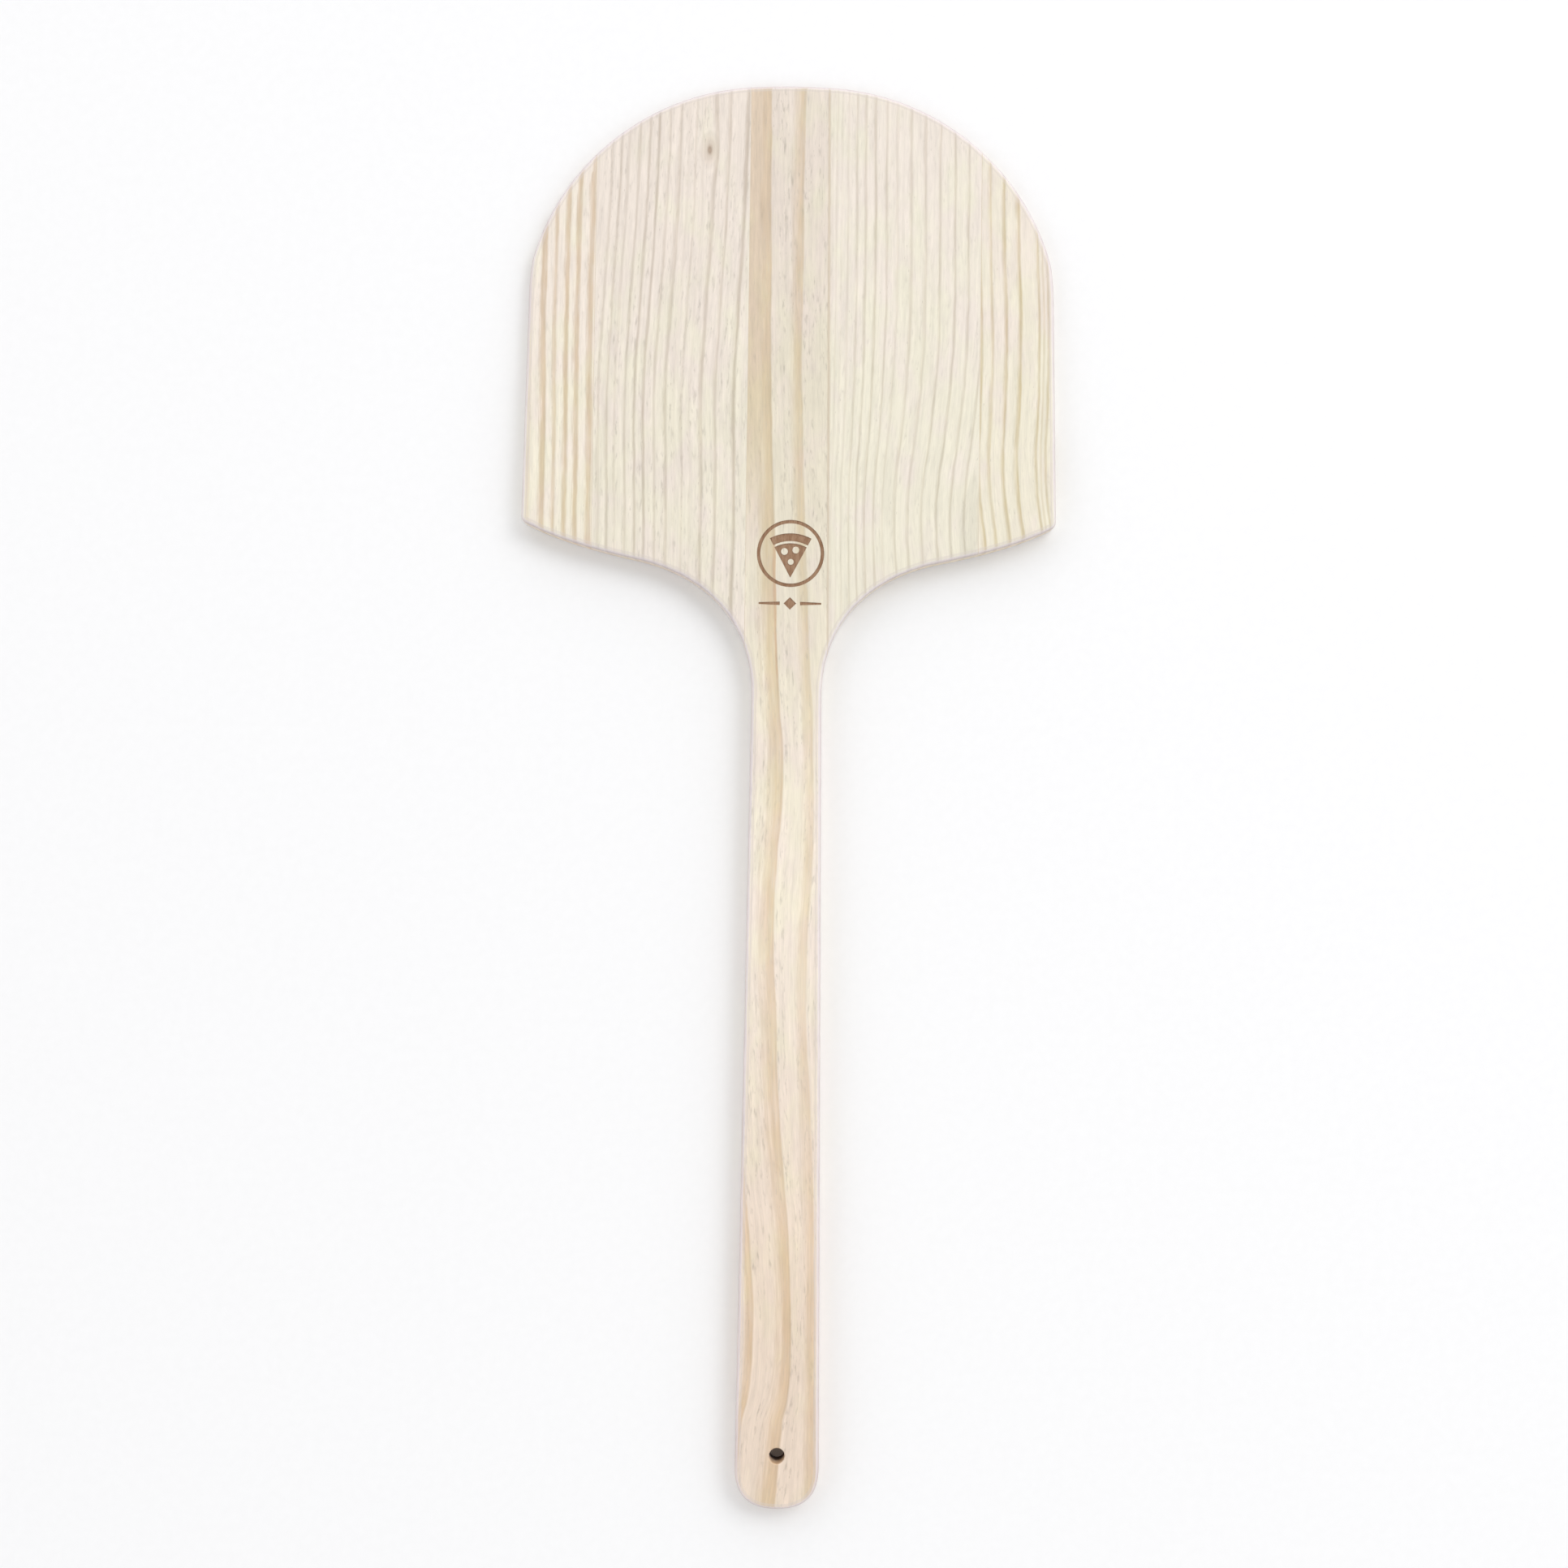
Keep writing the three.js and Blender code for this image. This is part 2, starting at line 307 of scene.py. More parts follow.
def board_mesh():
    """The whole board as one closed skin of bands round the rim and rungs across the faces."""
    right_edge = right_edge_points()
    steps = inward_steps(right_edge)
    last = len(right_edge) - 1
    loop_size = 2 * last
    vertices = []
    faces = []

    profile = edge_profile()
    for inset, height in profile:
        for i in range(loop_size):
            source = loop_size - i if i > last else i
            side = -1 if i > last else 1
            outline = right_edge[source]
            spot = Vector((side * outline.x, outline.y, 0)) / EDGE_WAVE_LENGTH
            radius = TOP_EDGE_RADIUS + EDGE_UNEVENNESS * noise.noise(spot)
            point = outline + steps[source] * inset
            vertices.append((
                side * point.x * MM, point.y * MM, height(point.y, radius) * MM))

    for loop in range(len(profile) - 1):
        lower = loop * loop_size
        upper = lower + loop_size
        for i in range(loop_size):
            after = (i + 1) % loop_size
            faces.append((lower + i, upper + i, upper + after, lower + after))

    def add_cap(start, faces_up):
        cap = [(0, loop_size - 1, 1)]
        for i in range(1, last - 1):
            cap.append((i, loop_size - i, loop_size - i - 1, i + 1))
        cap.append((last - 1, last + 1, last))
        for face in cap:
            ordered = face if faces_up else face[::-1]
            faces.append(tuple(start + corner for corner in ordered))

    add_cap(0, False)
    add_cap((len(profile) - 1) * loop_size, True)
    mesh = bpy.data.meshes.new("board")
    mesh.from_pydata(vertices, [], faces)
    record_rim_distance(
        mesh, [profile[i // loop_size][0] for i in range(len(vertices))])
    return mesh


def cut_away(shape, at_tip, at_end, keep_right):
    """Cuts the board along a line across it and caps the cut."""
    tip_point = Vector((at_tip * MM, TIP_Y * MM, 0))
    end_point = Vector((at_end * MM, END_Y * MM, 0))
    along = (tip_point - end_point).normalized()
    to_right = Vector((along.y, -along.x, 0))
    cut = bmesh.ops.bisect_plane(
        shape,
        geom=shape.verts[:] + shape.edges[:] + shape.faces[:],
        dist=1e-8,
        plane_co=tip_point,
        plane_no=to_right,
        clear_inner=keep_right,
        clear_outer=not keep_right,
    )
    rim = [item for item in cut["geom_cut"] if isinstance(item, bmesh.types.BMEdge)]
    bmesh.ops.triangle_fill(shape, use_beauty=True, edges=rim)
    bmesh.ops.recalc_face_normals(shape, faces=shape.faces[:])


def slice_of_board(name, board, left, right):
    """The part of the board between two lines, or out to the rim where a line is None."""
    shape = bmesh.new()
    shape.from_mesh(board)
    if left is not None:
        cut_away(shape, *left, keep_right=True)
    if right is not None:
        cut_away(shape, *right, keep_right=False)
    return new_object(name, mesh_from_bmesh(name, shape))


def shifted(joint, distance):
    return joint[0] + distance, joint[1] + distance


def subtract(piece, cutter):
    """Cuts the cutter out of the piece. The cut faces keep the cutter's material."""
    modifier = piece.modifiers.new("cut", "BOOLEAN")
    modifier.operation = "DIFFERENCE"
    modifier.solver = "EXACT"
    modifier.material_mode = "TRANSFER"
    modifier.object = cutter
    graph = bpy.context.evaluated_depsgraph_get()
    result = bpy.data.meshes.new_from_object(piece.evaluated_get(graph))
    piece.modifiers.clear()
    piece.data = result
    bpy.data.objects.remove(cutter)


def soften_shading(piece):
    """Smooth shading across the rounded edges, flat faces left flat."""
    for face in piece.data.polygons:
        face.use_smooth = True
    piece.data.set_sharp_from_angle(angle=SHARP_EDGE_ANGLE)
    modifier = piece.modifiers.new("even_faces", "WEIGHTED_NORMAL")
    modifier.keep_sharp = True
    modifier.weight = 100


# ---------------------------------------- hole and emblem cutters

def hole_cutter(material):
    """A lathe-turned cutter whose mouths flare in a quarter round."""
    lower = []
    for step in range(HOLE_FLARE_STEPS, -1, -1):
        angle = math.pi / 2 * step / HOLE_FLARE_STEPS
        lower.append((
            HOLE_RADIUS + HOLE_ROUNDING * (1 - math.cos(angle)),
            HOLE_ROUNDING * (1 - math.sin(angle)),
        ))
    upper = [(radius, BOARD_THICKNESS - height) for radius, height in reversed(lower)]
    mouth = HOLE_RADIUS + HOLE_ROUNDING
    below = (mouth, -HOLE_CUTTER_OVERSHOOT)
    above = (mouth, BOARD_THICKNESS + HOLE_CUTTER_OVERSHOOT)
    profile = [below] + lower + upper + [above]

    vertices = []
    faces = []
    for radius, height in profile:
        for k in range(HOLE_SEGMENTS):
            angle = 2 * math.pi * k / HOLE_SEGMENTS
            x = radius * math.cos(angle)
            y = HOLE_Y + radius * math.sin(angle)
            vertices.append((x * MM, y * MM, height * MM))
    for row in range(len(profile) - 1):
        for k in range(HOLE_SEGMENTS):
            after = (k + 1) % HOLE_SEGMENTS
            low = row * HOLE_SEGMENTS
            high = low + HOLE_SEGMENTS
            faces.append((low + k, low + after, high + after, high + k))
    faces.append(tuple(reversed(range(HOLE_SEGMENTS))))
    top = (len(profile) - 1) * HOLE_SEGMENTS
    faces.append(tuple(range(top, top + HOLE_SEGMENTS)))
    mesh = bpy.data.meshes.new("hole_cutter")
    mesh.from_pydata(vertices, [], faces)
    mesh.materials.append(material)
    record_rim_distance(mesh, [HOLE_RADIUS] * len(vertices))
    return new_object("hole_cutter", mesh)


def circle(centre, radius, segments=96):
    return arc(centre, radius, 0, 2 * math.pi, segments)


def emblem_islands():
    """Each island of the emblem as closed loops: its outer edge, then its holes."""
    centre = EMBLEM_CENTRE
    ring = [circle(centre, EMBLEM_RADIUS), circle(centre, EMBLEM_RADIUS - EMBLEM_STROKE)]

    point = centre + Vector((0, -SLICE_POINT_DROP))
    right = math.pi / 2 - SLICE_HALF_ANGLE
    left = math.pi / 2 + SLICE_HALF_ANGLE
    right_flank = Vector((math.cos(right), math.sin(right)))
    left_flank = Vector((math.cos(left), math.sin(left)))
    slice_edge = [point, point + right_flank * SLICE_RADIUS]
    slice_edge += arc(point, SLICE_RADIUS, right, left, 24)
    toppings = [circle(centre + Vector((x, y)), radius, 40) for x, y, radius in TOPPINGS]
    crust = [point + right_flank * CRUST_INNER_RADIUS, point + right_flank * CRUST_OUTER_RADIUS]
    crust += arc(point, CRUST_OUTER_RADIUS, right, left, 28)
    crust += [point + left_flank * CRUST_INNER_RADIUS]
    crust += arc(point, CRUST_INNER_RADIUS, left, right, 28)[:-1]

    middle = Vector((centre.x, ORNAMENT_Y))
    half = LOZENGE_HALF_WIDTH
    lozenge = [middle + Vector(step) for step in ((half, 0), (0, half), (-half, 0), (0, -half))]
    islands = [ring, [slice_edge] + toppings, [crust], [lozenge]]
    (near, near_half), (far, far_half) = BAR_NEAR, BAR_FAR
    bar = [(near, -near_half), (far, -far_half), (far, far_half), (near, near_half)]
    for side in (-1, 1):
        islands.append([[middle + Vector((side * x, y)) for x, y in bar]])
    return islands


def emblem_cutter(material):
    """Prisms that reach from just above the top face down to the engraved floor."""
    shape = bmesh.new()
    for island in emblem_islands():
        edges = []
        for loop in island:
            corners = [shape.verts.new((spot.x * MM, spot.y * MM, 0)) for spot in loop]
            for start, end in zip(corners, corners[1:] + corners[:1]):
                edges.append(shape.edges.new((start, end)))
        filled = bmesh.ops.triangle_fill(shape, use_beauty=True, edges=edges)
        flat = [item for item in filled["geom"] if isinstance(item, bmesh.types.BMFace)]
        raised = bmesh.ops.extrude_face_region(shape, geom=flat)
        for item in raised["geom"]:
            if isinstance(item, bmesh.types.BMVert):
                item.co.z = 1
    for corner in shape.verts:
        surface = thickness_at(corner.co.y / MM)
        lift = EMBLEM_CUTTER_OVERSHOOT if corner.co.z > 0 else -EMBLEM_DEPTH
        corner.co.z = (surface + lift) * MM
    bmesh.ops.recalc_face_normals(shape, faces=shape.faces[:])
    mesh = mesh_from_bmesh("emblem_cutter", shape)
    mesh.materials.append(material)
    return new_object("emblem_cutter", mesh)


# ---------------------------------------- material building

def srgb(red, green, blue):
    """A colour given in 0 to 255 display values, as the linear colour that shaders use."""
    linear = []
    for value in (red, green, blue):
        value /= 255
        low = value / 12.92
        high = ((value + 0.055) / 1.055) ** 2.4
        linear.append(low if value <= 0.04045 else high)
    return (*linear, 1.0)


# How far apart the patterns of two neighbouring seeds lie
NOISE_SEED_STEP = 17.3
DASH_SEED_STEP = 7.7


class Graph:
    """The nodes of a material or world, with one short call for each kind of node used here."""

    def __init__(self, owner):
        owner.use_nodes = True
        self.owner = owner
        self.tree = owner.node_tree

    def add(self, kind, **settings):
        made = self.tree.nodes.new(kind)
        for setting, value in settings.items():
            setattr(made, setting, value)
        return made

    def feed(self, socket, value):
        """Links another node's output to a socket, or sets the socket to a number or colour."""
        if isinstance(value, bpy.types.NodeSocket):
            self.tree.links.new(value, socket)
        elif value is not None:
            socket.default_value = value

    def math(self, operation, first, second=None, third=None, clamp=False):
        made = self.add("ShaderNodeMath", operation=operation, use_clamp=clamp)
        for socket, value in zip(made.inputs, (first, second, third)):
            self.feed(socket, value)
        return made.outputs[0]

    def plus(self, *terms):
        total = terms[0]
        for term in terms[1:]:
            total = self.math("ADD", total, term)
        return total

    def times(self, *factors):
        total = factors[0]
        for factor in factors[1:]:
            total = self.math("MULTIPLY", total, factor)
        return total

    def length(self, first, second):
        """Length of the diagonal of two distances at right angles."""
        squared = self.plus(self.times(first, first), self.times(second, second))
        return self.math("SQRT", squared)

    def ramp(self, value, start, end, low=0.0, high=1.0):
        """Smooth step of a value from low at start to high at end."""
        made = self.add("ShaderNodeMapRange", interpolation_type="SMOOTHSTEP")
        for socket, number in zip(made.inputs, (value, start, end, low, high)):
            self.feed(socket, number)
        return made.outputs[0]

    def curve(self, value, points, straight=False):
        """A smooth curve, or straight lines, through (input, output) points. Past the first and
        last point the output stays level."""
        low, high = points[0][0], points[-1][0]
        outputs = [output for _, output in points]
        bottom, top = min(outputs), max(outputs)
        made = self.add("ShaderNodeFloatCurve")
        line = made.mapping.curves[0]
        for index, (place, output) in enumerate(points):
            spot = ((place - low) / (high - low), (output - bottom) / (top - bottom))
            if index < 2:
                line.points[index].location = spot
            else:
                line.points.new(*spot)
        for point in line.points:
            point.handle_type = "VECTOR" if straight else "AUTO"
        made.mapping.update()
        share = self.math("DIVIDE", self.plus(value, -low), high - low, clamp=True)
        self.feed(made.inputs["Value"], share)
        return self.plus(self.times(made.outputs[0], top - bottom), bottom)

    def vector(self, x, y, z):
        made = self.add("ShaderNodeCombineXYZ")
        for socket, value in zip(made.inputs, (x, y, z)):
            self.feed(socket, value)
        return made.outputs[0]

    def stretched(self, place, size, start):
        """A place counted in sizes along each axis, with the length counted from start."""
        x, y, z = place
        return self.vector(
            self.times(x, 1 / size[0]),
            self.plus(self.times(y, 1 / size[1]), start),
            self.times(z, 1 / size[2]),
        )

    def noise(self, place, size, seed, detail=2.0, roughness=0.5):
        """Noise from -0.5 to 0.5 with features about size millimetres long on each axis."""
        made = self.add("ShaderNodeTexNoise")
        self.feed(made.inputs["Vector"], self.stretched(place, size, seed * NOISE_SEED_STEP))
        self.feed(made.inputs["Scale"], 1.0)
        self.feed(made.inputs["Detail"], detail)
        self.feed(made.inputs["Roughness"], roughness)
        return self.plus(made.outputs[0], -0.5)

    def dashes(self, place, cell, size, share, seed):
        """Scattered short dashes: 1 inside a dash, 0 outside. The dashes are size times as long
        and wide as a cell, and a share of the cells has one."""
        made = self.add("ShaderNodeTexVoronoi", feature="F1")
        self.feed(made.inputs["Vector"], self.stretched(place, cell, seed * DASH_SEED_STEP))
        self.feed(made.inputs["Scale"], 1.0)
        chosen = self.add("ShaderNodeSeparateColor")
        self.feed(chosen.inputs[0], made.outputs["Color"])
        kept = self.ramp(chosen.outputs[0], 1 - share, 1 - share + 0.05)
        near = self.ramp(made.outputs["Distance"], size * 0.6, size, 1.0, 0.0)
        return self.times(kept, near)

    def mix(self, share, first, second, mode="MIX"):
        made = self.add("ShaderNodeMix", data_type="RGBA", blend_type=mode)
        self.feed(made.inputs["Factor"], share)
        self.feed(made.inputs["A"], first)
        self.feed(made.inputs["B"], second)
        return made.outputs["Result"]

    def scaled(self, colour, amount):
        """A colour made lighter or darker by a number."""
        made = self.add("ShaderNodeVectorMath", operation="SCALE")
        self.feed(made.inputs[0], colour[:3] if isinstance(colour, tuple) else colour)
        self.feed(made.inputs["Scale"], amount)
        return made.outputs[0]

    def place(self):
        """The shaded point in millimetres: across, along and up."""
        coordinates = self.add("ShaderNodeTexCoord")
        split = self.add("ShaderNodeSeparateXYZ")
        self.feed(split.inputs[0], coordinates.outputs["Object"])
        return [self.times(split.outputs[axis], 1 / MM) for axis in range(3)]

    def finish(self, colour, roughness, height, sheen=0.0):
        """Feeds the shader. Height is in millimetres."""
        shader = self.tree.nodes["Principled BSDF"]
        bump = self.add("ShaderNodeBump")
        self.feed(bump.inputs["Strength"], 1.0)
        self.feed(bump.inputs["Distance"], MM)
        self.feed(bump.inputs["Height"], height)
        self.feed(shader.inputs["Base Color"], colour)
        self.feed(shader.inputs["Roughness"], roughness)
        self.feed(shader.inputs["Normal"], bump.outputs[0])
        shader.inputs["Sheen Weight"].default_value = sheen
        shader.inputs["Sheen Roughness"].default_value = 0.35
        return self.owner


# ---------------------------------------- wood

# How far the grain lies off to the right, at places along the board (both in millimetres)
CENTRE_LEFT_DRIFT = [
    (-457, 12), (-402, 16.8), (-345, 23.4), (-297, 21.6), (-245, 16), (-190, 11.6), (-140, 9.8),
    (-90, 7.2), (-37, 9.3), (15, 11.6), (52, 9.6), (104, 6.6), (208, 3.3), (302, 0.9),
    (457, -1),
]
CENTRE_RIGHT_DRIFT = [
    (-457, 17.5), (-349, 16.2), (-245, 13.5), (-193, 10.7), (-110, 8), (-37, 10.9),
    (15, 10.4), (104, 6.8), (208, 2.2), (354, -0.2), (457, 1),
]
LEFT_INNER_DRIFT = [(60, -2), (208, -1), (250, -1.7), (302, 0), (354, 3), (405, 5), (457, 6)]
LEFT_OUTER_DRIFT = [(140, 0.6), (210, 0.8), (302, 0), (400, 2)]
RIGHT_INNER_BEND = [
    (60, 2), (110, 4.5), (132, 6.8), (155, 8.8), (177, 10), (200, 9), (222, 6.2), (250, 3.2),
    (275, 1.2), (302, 0), (457, 0),
]
RIGHT_OUTER_DRIFT = [
    (140, 5), (155, 4), (168, 2.8), (182, 0.8), (200, -1), (218, -1.6), (240, -0.6), (270, 0),
    (302, 0), (350, -1.8), (420, -3),
]

# The wood of each stave:
#   rings       each growth ring's place across the board, where the grain has no drift, of the
#               dark line that ends it, then its depth of colour and the width of its dark wood
#   edge_width  how softly the dark wood ends at that line
#   solid       share of the dark wood's width that is fully dark before it fades
#   tilt        how far the rings lean to the side for each millimetre of depth
#   pale, late  colours of the pale wood and the dark wood
#   line        how strongly the dark line shows
#   flecks      how many torn fibres and resin canals show
#   streaks     how strong the lighter and darker streaks are
WOODS = {
    "left_outer_stave": {
        "slot": "left_outer_wood",
        "rings": [
            (-190, 0.8, 5.4), (-182, 0.8, 5.4), (-175, 0.8, 5.4), (-167, 0.4, 5),
            (-157.6, 1, 6), (-150.6, 0.75, 4.6), (-143, 0.95, 5), (-136, 0.9, 5.6),
            (-127.2, 0.9, 6), (-118, 0.5, 5),
        ],
        "edge_width": 1.8,
        "solid": 0.5,
        "tilt": 0.25,
        "pale": (241, 232, 217),
        "late": (217, 198, 171),
        "line": 0.25,
        "flecks": 0.5,
        "streaks": 1.0,
        "seed": 3,
    },
    "left_inner_stave": {
        "slot": "left_inner_wood",
        "rings": [
            (-136, 0.4, 3.4), (-129, 0.4, 3.4), (-120.2, 0.55, 3.6), (-114.6, 0.75, 3.4),
            (-109.9, 0.45, 3), (-103.1, 0.7, 3.4), (-96.9, 0.9, 3.4), (-90.9, 0.95, 3.4),
            (-84.1, 0.65, 3.4), (-76.7, 0.7, 4.4), (-71.6, 0.2, 3), (-66.8, 0.5, 3.2),
            (-61.8, 0.2, 3), (-54.3, 0.75, 5), (-45.6, 0.7, 4.2), (-33.7, 1, 4.6),
            (-22, 0.6, 4), (-12, 0.6, 4),
        ],
        "edge_width": 1.7,
        "solid": 0.3,
        "tilt": 0.35,
        "pale": (236, 227, 213),
        "late": (208, 196, 179),
        "line": 0.2,
        "flecks": 0.9,
        "streaks": 1.0,
        "seed": 11,
    },
    "centre_stave": {
        "slot": "centre_wood",
        "rings": [
            (-84, 0.6, 10), (-63, 0.6, 12), (-39.5, 0.95, 8), (-13.4, 1, 15),
            (7.6, 0.78, 10.5), (30, 0.5, 9), (52, 0.5, 9),
        ],
        "edge_width": 1.5,
        "solid": 0.3,
        "tilt": 1.3,
        "pale": (233, 223, 208),
        "late": (219, 200, 172),
        "line": 0.4,
        "flecks": 1.0,
        "streaks": 1.1,
        "seed": 23,
    },
    "right_inner_stave": {
        "slot": "right_inner_wood",
        "rings": [
            (16, 0.5, 3), (21, 0.5, 3), (26.4, 0.4, 2.6), (29.2, 0.45, 2.8), (32.5, 0.3, 2.6),
            (36.6, 0.5, 2.8), (42.4, 0.75, 3.2), (48, 0.85, 3.2), (54.3, 1, 3.4),
            (61.3, 0.85, 3.2), (68, 0.45, 3.6), (77, 0.7, 4), (86.3, 0.7, 4), (95.5, 0.85, 3.4),
            (105.2, 0.95, 3.4), (114, 0.9, 3.4), (123, 0.8, 3.2), (132, 0.8, 3.2),
            (141, 0.8, 3.2),
        ],
        "edge_width": 1.6,
        "solid": 0.3,
        "tilt": -0.3,
        "pale": (237, 229, 215),
        "late": (216, 205, 188),
        "line": 0.2,
        "flecks": 0.45,
        "streaks": 0.9,
        "seed": 37,
    },
    "right_outer_stave": {
        "slot": "right_outer_wood",
        "rings": [
            (108, 0.5, 3), (115, 0.5, 3), (123.9, 0.9, 5), (130.8, 0.7, 4), (139.8, 0.85, 4.4),
            (148.7, 0.95, 4.4), (160.6, 0.9, 3.4), (163.4, 0.5, 3), (166.6, 0.85, 3),
            (176, 0.8, 4), (186, 0.8, 4),
        ],
        "edge_width": 1.6,
        "solid": 0.3,
        "tilt": -0.2,
        "pale": (237, 228, 213),
        "late": (211, 194, 162),
        "line": 0.25,
        "flecks": 0.4,
        "streaks": 0.95,
        "seed": 51,
    },
}

# Pinker wood at the tip and the handle end, yellower at the shoulders
ROSINESS = [
    (-457, 0.2), (-250, 0.1), (-60, 0), (100, -0.05), (200, -0.14), (300, -0.02), (457, 0.14),
]

# Colour along the middle stave: greyer on the blade, palest below the neck, warmer near the end
CENTRE_SHADE = [
    (-457, 1.02), (-360, 1.05), (-250, 1.07), (-150, 1.085), (-60, 1.12), (20, 1.07),
    (90, 1.03), (200, 0.97), (457, 0.965),
]
CENTRE_CONTRAST = [
    (-457, 1), (-340, 0.95), (-200, 0.75), (-60, 0.8), (60, 0.88), (160, 1), (457, 1.01),
]
CENTRE_WARMTH = [
    (-457, 0.95), (-340, 1), (-250, 0.7), (-170, 0.4), (-90, 0.15), (0, 0.05), (100, 0.08),
    (457, 0),
]

# How reddish the darkest line of the middle stave's left band is: most so beside the emblem
CENTRE_LINE_REDNESS = [
    (-457, 0), (-250, 0.1), (-100, 0.3), (0, 0.5), (66, 0.5), (92, 2.4), (135, 2.4),
    (160, 1.2), (190, 0), (457, 0),
]

# Wedge of darker wood beside the right outer joint, from its top down to the shoulder
WEDGE_TOP = Vector((118.6, 213))
WEDGE_LEAN = 0.28
WEDGE_LEFT = 109.4
WEDGE_RIGHT = 120.3
WEDGE_DARKNESS = 0.083

KNOT = Vector((-53.8, 414.5))
KNOT_CORE = (1.7, 3.5)
KNOT_REACH = (5.5, 16)

# Moves all the rings together, so that the middle of the noise leaves them in place
RING_OFFSET = -0.6

# Tints that multiply the colour of the wood
GREENER = (1, 1.02, 0.96, 1)
PINKER = (1, 0.975, 0.995, 1)
WARMER = (0.985, 0.925, 0.865, 1)
SOAKED = srgb(244, 236, 226)

# Colours of single marks in the wood, and of painted light and shade on the rim and in the hole
RED_LINE = srgb(210, 182, 154)
TORN_FIBRE = srgb(158, 148, 134)
RESIN_CANAL = srgb(120, 100, 82)
GLUE_STAIN = srgb(203, 187, 165)
# Painted shade line, painted highlight and painted shade outline on the rounded rim
CREASE_SHADE = srgb(216, 205, 198)
RIM_HIGHLIGHT = srgb(228, 219, 224)
OUTERMOST_RIM_SHADE = srgb(182, 170, 171)
KNOT_HALO = srgb(208, 192, 175)
KNOT_WOOD = srgb(166, 144, 124)
# Painted shade deep in the hanging hole
HOLE_SHADE = srgb(60, 28, 20)


class Wood:
    """What the colour and surface of one stave are worked out from, at the shaded point."""

    def __init__(self, graph, name):
        self.name = name
        self.traits = WOODS[name]
        self.seed = self.traits["seed"]
        self.place = graph.place()
        self.across, self.along, self.up = self.place

        # Fibres follow the grain, in coarse, medium and fine streaks
        shift = grain_shift(graph, name, self.across, self.along)
        self.straight = (graph.math("SUBTRACT", self.across, shift), self.along, self.up)
        self.streak = graph.noise(self.straight, (2.2, 60, 2.2), self.seed + 4, detail=2)
        self.fibre = graph.noise(
            self.straight, (0.8, 12, 0.8), self.seed + 5, detail=3, roughness=0.6)
        self.fine_fibre = graph.noise(self.straight, (0.26, 9, 0.26), self.seed + 6, detail=3)
        self.mottle = graph.noise(self.place, (6, 18, 6), self.seed + 7)
        self.pores = graph.noise(self.place, (0.3, 3, 0.3), self.seed + 10, detail=2)

        self.wave = graph.times(graph.noise(self.place, (22, 50, 22), self.seed + 1), 1.6)
        self.late, self.line = growth_rings(graph, self)
        self.smudge, self.canal = resin_marks(graph, self)

        normal = graph.add("ShaderNodeSeparateXYZ")
        graph.feed(normal.inputs[0], graph.add("ShaderNodeNewGeometry").outputs["Normal"])
        self.end_grain = graph.ramp(graph.math("ABSOLUTE", normal.outputs[1]), 0.35, 0.95)
        self.flatness = graph.math("ABSOLUTE", normal.outputs[2])


def grain_shift(graph, name, across, along):
    """How far the grain lines are pushed to the right at a point."""
    if name == "centre_stave":
        left = graph.curve(along, CENTRE_LEFT_DRIFT)
        right = graph.curve(along, CENTRE_RIGHT_DRIFT)
        share = graph.ramp(graph.math("SUBTRACT", across, right), -15, 6)
        return graph.plus(left, graph.times(share, graph.math("SUBTRACT", right, left)))
    if name == "left_inner_stave":
        return graph.curve(along, LEFT_INNER_DRIFT)
    if name == "left_outer_stave":
        return graph.curve(along, LEFT_OUTER_DRIFT)
    if name == "right_outer_stave":
        return graph.curve(along, RIGHT_OUTER_DRIFT)
    outwards = graph.ramp(across, 8, 84)
    return graph.times(graph.curve(along, RIGHT_INNER_BEND), outwards, -1.0)


def top_height(graph, along):
    """Height of the top face, in millimetres, at a place along the board."""
    from_tip = graph.math("SUBTRACT", TIP_Y, along)
    taper = graph.plus(graph.times(from_tip, TAPER_SLOPE), TIP_THICKNESS)
    # The smooth minimum takes a sixth of this off the corner, as much as thickness_at does
    easing = 6 * TAPER_SLOPE * TAPER_EASING / 4
    return graph.math("SMOOTH_MIN", taper, BOARD_THICKNESS, easing)


def knot_distance(graph, across, along, size):
    """Distance from the middle of the knot, counted in sizes across and along."""
    sideways = graph.times(graph.plus(across, -KNOT.x), 1 / size[0])
    lengthwise = graph.times(graph.plus(along, -KNOT.y), 1 / size[1])
    return graph.length(sideways, lengthwise)


def place_in_rings(graph, wood):
    """Place across the growth rings, in millimetres, with every bend of the grain undone."""
    depth = graph.math("SUBTRACT", wood.up, top_height(graph, wood.along))
    slow_wave = graph.times(graph.noise(wood.place, (90, 200, 60), wood.seed, detail=1), 2.0)
    ripple = graph.times(graph.noise(wood.place, (3, 12, 3), wood.seed + 2), 0.7)
    place = graph.plus(
        wood.straight[0], slow_wave, wood.wave, ripple,
        graph.times(depth, wood.traits["tilt"]), RING_OFFSET)
    if wood.name == "left_inner_stave":
        away = knot_distance(graph, wood.across, wood.along, KNOT_REACH)
        pull = graph.math("EXPONENT", graph.times(away, away, -1.0))
        sideways = graph.plus(wood.across, -KNOT.x)
        place = graph.math("SUBTRACT", place, graph.times(sideways, pull, 0.8))
    return place


def ring_strength(graph, wood):
    """How dark the rings are, which varies along them and from fibre to fibre."""
    patches = graph.noise(wood.place, (5, 30, 5), wood.seed + 3)
    strength = graph.plus(1.0, patches, graph.times(wood.fibre, 1.4))
    if wood.name == "centre_stave":
        strength = graph.times(strength, graph.curve(wood.along, CENTRE_CONTRAST))
    return strength


